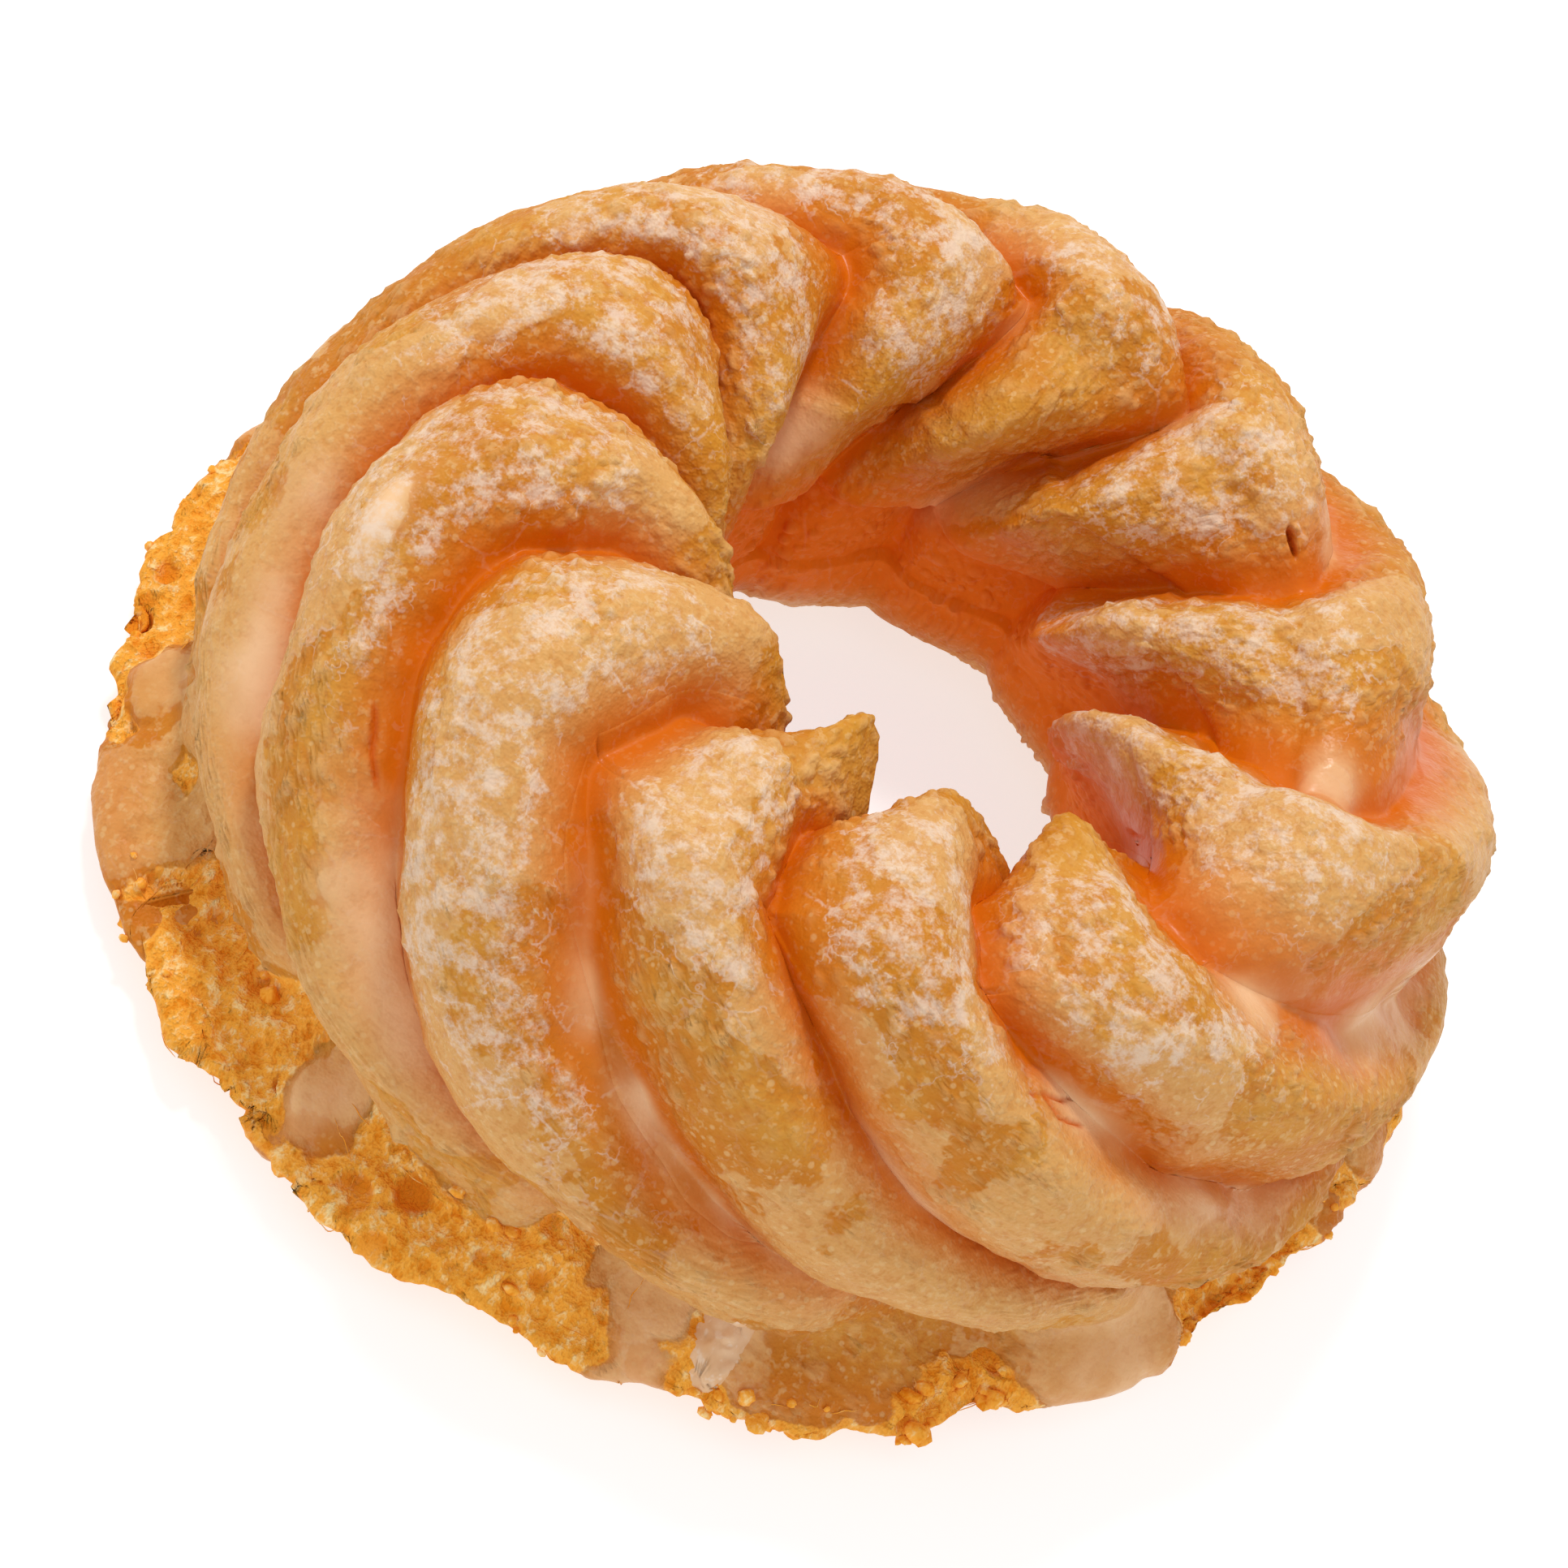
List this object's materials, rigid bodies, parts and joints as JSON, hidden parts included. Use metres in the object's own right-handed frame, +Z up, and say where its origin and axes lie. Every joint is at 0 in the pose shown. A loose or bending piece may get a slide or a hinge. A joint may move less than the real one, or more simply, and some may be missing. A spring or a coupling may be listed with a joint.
{
  "type": "cruller doughnut",
  "caption": "Ring of fried choux pastry with deep twisted ridges over a swollen base and an open hole, thinly glazed.",
  "frame": {"origin": "on the table under the middle of the doughnut's box", "axes": "+Z up through the hole, as the doughnut lies on its base; +X and +Y across the ring"},
  "size_m": [0.0912, 0.0854, 0.0371],
  "materials": {
    "glazed_crust": "fried golden crust under thin sugar glaze"
  },
  "bodies": {
    "root": {"cruller": "glazed_crust"}
  },
  "joints": []
}
